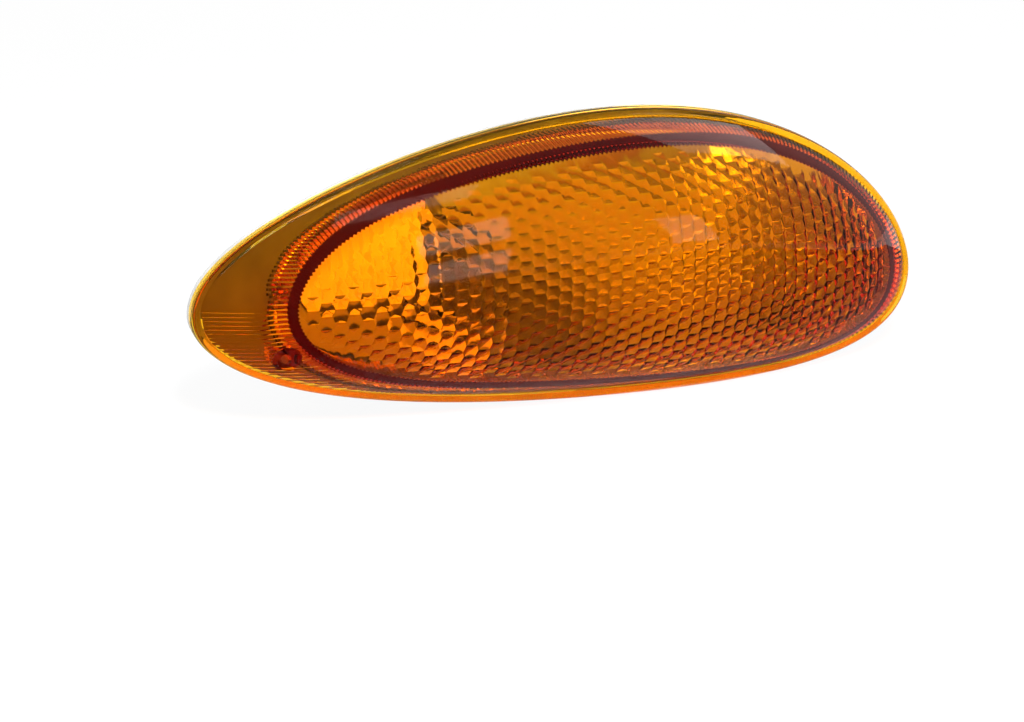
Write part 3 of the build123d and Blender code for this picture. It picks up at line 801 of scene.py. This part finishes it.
    def tail_ribs(self) -> bpy.types.Object:
        """Models the fine ribs along the back of the tail's lower half."""
        across = np.linspace(self.dome.tail, self.rib_end, self.rib_samples)
        paths = []
        for z in np.arange(*self.rib_heights, -self.rib_pitch):
            inside = np.flatnonzero(self.dome.holds(across, z))
            walled = np.flatnonzero(self.window.holds(across, z))
            start = across[inside[0]] + self.rib_clear
            end = (across[walled[0]] if len(walled) else self.rib_end) - self.rib_clear
            if end - start > self.rib_pitch:
                x = np.linspace(start, end, self.rib_points)
                foot = self.on_back(np.column_stack([x, np.full(self.rib_points, z)]), -self.rib_root)
                paths.append(self.to_frame(foot))
        side = np.array([0.0, 0.0, self.rib_pitch * self.rib_half_share]) * MM
        return bars("tail_ribs", paths, side, np.array([0.0, self.rib_root + self.rib_depth, 0.0]) * MM)


def clear_selection() -> None:
    """Deselects everything."""
    bpy.ops.object.select_all(action="DESELECT")


def pick(*pieces: bpy.types.Object) -> None:
    """Selects only these pieces and makes the last one active."""
    clear_selection()
    for piece in pieces:
        piece.select_set(True)
    bpy.context.view_layer.objects.active = pieces[-1]


def turn_outwards(piece: bpy.types.Object, weld: float = 0.0) -> None:
    """Points a piece's faces outwards.

    Args:
        piece: The piece.
        weld: Distance in metres within which points are welded first, or 0 to weld none.
    """
    pick(piece)
    bpy.ops.object.mode_set(mode="EDIT")
    bpy.ops.mesh.select_all(action="SELECT")
    if weld > 0.0:
        bpy.ops.mesh.remove_doubles(threshold=weld)
    bpy.ops.mesh.normals_make_consistent(inside=False)
    bpy.ops.object.mode_set(mode="OBJECT")


def bars(name: str, paths: list[np.ndarray], side: np.ndarray, tip: np.ndarray) -> bpy.types.Object:
    """Models three-sided bars along paths, in metres.

    Args:
        name: Name of the object.
        paths: Points along the middle of each bar's foot, one row each.
        side: From the middle of the foot to one of its edges.
        tip: From the middle of the foot to the ridge.

    Returns:
        The bars as one object.
    """
    vertices: list[tuple[float, ...]] = []
    faces: list[tuple[int, ...]] = []
    for path in paths:
        start = len(vertices)
        for point in path:
            vertices += [tuple(point - side), tuple(point + side), tuple(point + tip)]
        last = len(vertices) - 3
        for ring in range(start, last, 3):
            faces += [(ring + a, ring + b, ring + b + 3, ring + a + 3) for a, b in ((0, 1), (1, 2), (2, 0))]
        faces += [(start, start + 2, start + 1), (last, last + 1, last + 2)]
    mesh = bpy.data.meshes.new(name)
    mesh.from_pydata(vertices, [], faces)
    made = bpy.data.objects.new(name, mesh)
    bpy.context.collection.objects.link(made)
    turn_outwards(made)
    return made


def combine(body: bpy.types.Object, tool: bpy.types.Object, operation: str) -> None:
    """Joins a tool to a body, or cuts it out, and removes the tool.

    Args:
        body: The piece that stays.
        tool: The shape that is joined or cut.
        operation: UNION or DIFFERENCE.
    """
    pick(body)
    modifier = body.modifiers.new("combine", "BOOLEAN")
    modifier.operation = operation
    modifier.object = tool
    modifier.solver = "MANIFOLD"
    bpy.ops.object.modifier_apply(modifier=modifier.name)
    bpy.data.objects.remove(tool)


@dataclass
class PlateRibs:
    """Upright ribs on the reflector's step plate, in millimetres from the front of the lens's rim."""

    lens: Lens
    inset: float = 9.3
    right: float = -32.2
    low: float = -5.8
    front: float = 5.45
    pitch: float = 2.54
    half_width: float = 1.15
    depth: float = 1.0
    points: int = 6

    def build(self, finish: bpy.types.Material) -> bpy.types.Object:
        """Models the ribs.

        Args:
            finish: The plate's finish.

        Returns:
            The ribs as one piece.
        """
        plate = self.lens.window.inset(*[self.inset] * 3)
        paths = []
        for x in np.arange(self.right - self.pitch / 2.0, plate.tail, -self.pitch):
            half = math.sqrt(max(float(plate.half_squared(x)), 0.0))
            middle = float(plate.line.height(x))
            top, bottom = middle + half, max(middle - half, self.low)
            if top - bottom > self.pitch:
                heights = np.linspace(bottom, top, self.points)
                paths.append(self.lens.to_frame([[x, self.front, z] for z in heights]))
        side = np.array([self.half_width, 0.0, 0.0]) * MM
        made = bars("plate_ribs", paths, side, np.array([0.0, -self.depth, 0.0]) * MM)
        made.data.materials.append(finish)
        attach(made, "root")
        return made


@dataclass
class Lamp:
    """Everything behind the lens, dressed where the solids are."""

    finishes: dict[str, tuple[str, ...]] = field(default_factory=lambda: {
        "housing_plastic": ("housing",),
        "foam_strip": ("fairing_gasket",),
        "seal_rubber": ("lens_seal", "holder_seal"),
        "bright_coat": ("reflector",),
        "matt_coat": ("reflector_step",),
        "bulb_glass": ("bulb_glass", "bulb_stem"),
        "drawn_brass": ("bulb_cap", "mounting_inserts", "contact_strip", "live_terminal", "earth_terminal"),
        "tinned_steel": ("socket_sleeve", "bulb_contact", "tail_screw"),
        "filament_wire": ("bulb_filament",),
        "black_bead": ("bulb_insulator",),
        "holder_plastic": ("bulb_holder",),
        "pressed_board": ("contact_carrier",),
    })

    def materials(self) -> dict[str, bpy.types.Material]:
        """Makes every finish behind the lens."""
        recipes = [
            MouldedPlastic("housing_plastic", (0.075, 0.075, 0.075), (0.105, 0.105, 0.103), (0.45, 0.6)),
            MouldedPlastic("foam_strip", (0.42, 0.42, 0.41), (0.50, 0.50, 0.49), (0.8, 0.95), 2500.0, 0.0002),
            MouldedPlastic("seal_rubber", (0.028, 0.028, 0.028), (0.045, 0.045, 0.044), (0.55, 0.75)),
            CoatWithPaintedLight("bright_coat", (0.70, 0.70, 0.70), (0.80, 0.80, 0.81), (0.08, 0.16)),
            MouldedPlastic("matt_coat", (0.64, 0.64, 0.63), (0.70, 0.70, 0.69), (0.35, 0.5)),
            # The bulb glass's grey tint is painted shade: it darkens the zone round the bulb.
            BlownGlass("bulb_glass", (0.62, 0.58, 0.53), 0.03, 0.95),
            BrightMetal("drawn_brass", (0.58, 0.41, 0.17), (0.74, 0.56, 0.26), (0.25, 0.4), 900.0),
            BrightMetal("tinned_steel", (0.52, 0.52, 0.53), (0.66, 0.66, 0.67), (0.25, 0.4), 900.0),
            BrightMetal("filament_wire", (0.30, 0.30, 0.31), (0.40, 0.40, 0.41), (0.3, 0.5), 3000.0),
            MouldedPlastic("black_bead", (0.008, 0.008, 0.009), (0.014, 0.014, 0.015), (0.08, 0.15)),
            MouldedPlastic("holder_plastic", (0.022, 0.022, 0.024), (0.036, 0.036, 0.038), (0.4, 0.6)),
            MouldedPlastic("pressed_board", (0.20, 0.105, 0.05), (0.29, 0.16, 0.08), (0.5, 0.7), 2000.0),
        ]
        return {recipe.name: recipe.build() for recipe in recipes}

    def dress(self) -> dict[str, bpy.types.Material]:
        """Gives every solid behind the lens its finish.

        Returns:
            The finishes by name.
        """
        made = self.materials()
        for finish, nodes in self.finishes.items():
            for node in nodes:
                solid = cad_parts[node]
                solid.material_slots[0].material = made[finish]
                LOG.info("%s: %s", node, finish)
        return made


@dataclass
class SoftBox:
    """A rectangular studio light."""

    name: str
    place: Point
    aim: Point
    size: tuple[float, float]
    power: float
    spread: float = 180.0
    mirrored: bool = True

    def build(self) -> bpy.types.Object:
        """Adds the light."""
        data = bpy.data.lights.new(self.name, "AREA")
        data.shape = "RECTANGLE"
        data.size, data.size_y = self.size
        data.energy = self.power
        data.spread = math.radians(self.spread)
        light = bpy.data.objects.new(self.name, data)
        light.visible_glossy = light.visible_transmission = self.mirrored
        bpy.context.collection.objects.link(light)
        light.location = self.place
        light.rotation_euler = (Vector(self.aim) - Vector(self.place)).to_track_quat("-Z", "Y").to_euler()
        return light


@dataclass
class Studio:
    """Floor, light and camera."""

    azimuth: float = -25.0
    elevation: float = 17.0
    focal: float = 150.0
    scale: float = 4.43
    image: tuple[int, int] = (1024, 722)
    pixel: tuple[float, float] = (566.5, 256.0)
    anchor: Point = (-0.034, -0.0345, 0.003)
    sensor: float = 36.0
    world: float = 0.5
    floor_size: float = 12.0
    floor_colour: Colour = (0.85, 0.85, 0.85)
    floor_white: float = 0.93
    card_place: tuple[float, float] = (-0.05, -0.32)
    card_depth: float = 0.72
    card_colour: Colour = (0.15, 0.15, 0.15)
    card_roughness: float = 0.9
    boxes: tuple[SoftBox, ...] = (
        SoftBox("overhead", (-0.09, -0.25, 0.78), (-0.03, -0.03, 0.0), (0.24, 0.16), 0.45),
        SoftBox("behind_right", (0.45, 0.25, 0.60), (-0.03, -0.03, 0.0), (0.6, 0.35), 1.3),
        SoftBox("window_left_low", (0.0, -0.75, 0.10), (-0.08, -0.05, 0.01), (0.14, 0.20), 0.6),
        SoftBox("window_left_high", (-0.02, -0.66, 0.42), (-0.08, -0.05, 0.01), (0.16, 0.26), 0.9),
        SoftBox("window_right", (0.41, -0.75, 0.17), (0.0, -0.05, 0.01), (0.10, 0.26), 0.38),
        SoftBox("front_fill", (-0.30, -0.75, 0.55), (-0.034, -0.04, 0.0), (0.12, 0.12), 2.2, 60.0, False),
    )

    def camera(self) -> bpy.types.Object:
        """Adds the camera so that the anchor falls on its pixel."""
        a, e = math.radians(self.azimuth), math.radians(self.elevation)
        back = Vector((math.sin(a) * math.cos(e), -math.cos(a) * math.cos(e), math.sin(e)))
        right = Vector((math.cos(a), math.sin(a), 0.0))
        up = Vector((-math.sin(a) * math.sin(e), math.cos(a) * math.sin(e), math.cos(e)))
        width, height = self.image
        per_pixel = MM / self.scale
        aim = Vector(self.anchor)
        aim += right * (width / 2.0 - self.pixel[0]) * per_pixel
        aim -= up * (height / 2.0 - self.pixel[1]) * per_pixel
        data = bpy.data.cameras.new("studio_camera")
        data.sensor_width = self.sensor
        data.lens = self.focal
        made = bpy.data.objects.new("studio_camera", data)
        bpy.context.collection.objects.link(made)
        made.location = aim + back * (width * per_pixel * self.focal / self.sensor)
        made.rotation_euler = (-back).to_track_quat("-Z", "Y").to_euler()
        bpy.context.scene.camera = made
        return made

    def floor(self, height: float) -> bpy.types.Object:
        """Adds a plain pale floor.

        Args:
            height: Height of the floor in metres.

        Returns:
            The floor.
        """
        clear_selection()
        bpy.ops.mesh.primitive_plane_add(size=self.floor_size, location=(0.0, 0.0, height))
        plane = bpy.context.active_object
        plane.name = "studio_floor"
        shader = Shader("studio_floor")
        matt = shader.node("ShaderNodeBsdfDiffuse")
        matt.inputs["Color"].default_value = (*self.floor_colour, 1.0)
        white = shader.node("ShaderNodeEmission")
        white.inputs["Strength"].default_value = 1.0
        path = shader.node("ShaderNodeLightPath")
        total = path.outputs[Rays.CAMERA.value]
        for kind in (Rays.GLOSSY, Rays.TRANSMISSION):
            both = shader.node("ShaderNodeMath", operation="MAXIMUM")
            shader.link(total, both.inputs[0])
            shader.link(path.outputs[kind.value], both.inputs[1])
            total = both.outputs[0]
        share = shader.node("ShaderNodeMath", operation="MULTIPLY")
        share.inputs[1].default_value = self.floor_white
        shader.link(total, share.inputs[0])
        mix = shader.node("ShaderNodeMixShader")
        shader.link(share.outputs[0], mix.inputs[0])
        shader.link(matt.outputs[0], mix.inputs[1])
        shader.link(white.outputs[0], mix.inputs[2])
        shader.link(mix.outputs[0], shader.output.inputs["Surface"])
        plane.data.materials.append(shader.material)
        plane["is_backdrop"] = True
        return plane

    def flag(self, height: float) -> bpy.types.Object:
        """Adds a dark card on the floor before and under the lamp, which shows only in reflections.

        Args:
            height: Height of the floor in metres.

        Returns:
            The card.
        """
        clear_selection()
        bpy.ops.mesh.primitive_plane_add(size=1.0, location=(*self.card_place, height + MM))
        card = bpy.context.active_object
        card.name = "studio_flag"
        card.scale = (1.0, self.card_depth, 1.0)
        card.visible_camera = card.visible_diffuse = card.visible_transmission = card.visible_shadow = False
        shader = Shader("studio_flag")
        shader.principled(Base_Color=(*self.card_colour, 1.0), Roughness=self.card_roughness)
        card.data.materials.append(shader.material)
        card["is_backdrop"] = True
        return card

    def build(self, height: float) -> None:
        """Adds floor, card, camera, lights and the world.

        Args:
            height: Height of the floor in metres.
        """
        scene = bpy.context.scene
        scene.view_settings.view_transform = "Standard"
        scene.world = bpy.data.worlds.new("studio_world")
        scene.world.use_nodes = True
        background = scene.world.node_tree.nodes["Background"]
        background.inputs["Color"].default_value = (1.0, 1.0, 1.0, 1.0)
        background.inputs["Strength"].default_value = self.world
        self.floor(height)
        self.flag(height)
        self.camera()
        for box in self.boxes:
            box.build()


def box_lists() -> list[list[float]]:
    """Gives the object's lowest and highest corner as plain lists."""
    return [[float(value) for value in corner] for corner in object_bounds()]


def main() -> None:
    """Builds the lens, dresses the lamp and sets the studio."""
    logging.basicConfig(level=logging.INFO, format="%(name)s: %(message)s")
    cad_box = box_lists()
    lens = Lens(AmberAcrylic())
    piece = lens.build()
    LOG.info("%s: %d faces", piece.name, len(piece.data.polygons))
    finishes = Lamp().dress()
    PlateRibs(lens).build(finishes["matt_coat"])
    Studio().build(cad_box[0][2])


if __name__ == "__main__":
    main()
